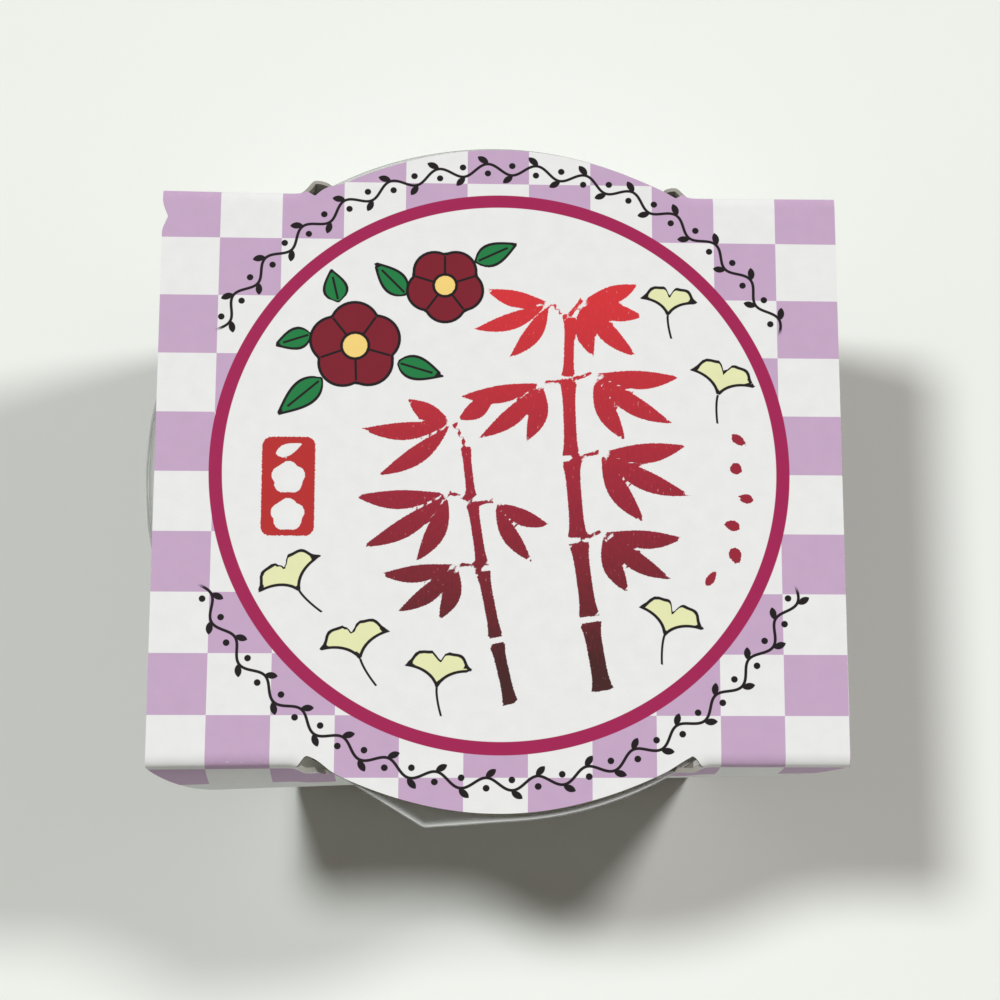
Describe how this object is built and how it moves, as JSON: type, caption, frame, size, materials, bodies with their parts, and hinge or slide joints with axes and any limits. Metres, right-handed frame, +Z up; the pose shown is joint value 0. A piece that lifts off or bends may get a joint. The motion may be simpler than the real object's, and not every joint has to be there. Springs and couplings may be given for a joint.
{
  "type": "cup of yokan in a carton sleeve",
  "caption": "Single-serve clear cup of set wine yokan with a peel film, held in a folded checkerboard carton sleeve with round tongues over the cup's flange.",
  "frame": {"origin": "middle of the underside of the sleeve's base panel", "axes": "+Z up, -Y towards the front edge with the peel tab, +X to the right as seen from the front"},
  "size_m": [0.071, 0.072, 0.0326],
  "materials": {
    "printed_board": "white carton board with a lilac and white checkerboard print, a magenta ring and a white disc, matt varnish",
    "peel_film": "clear glossy film",
    "clear_cup": "clear glossy thermoformed plastic",
    "wine_yokan": "smooth, moist, dark wine-red set bean paste"
  },
  "bodies": {
    "root": {"sleeve": "printed_board", "lid_film": "peel_film", "cup": "clear_cup", "yokan": "wine_yokan"}
  },
  "joints": []
}
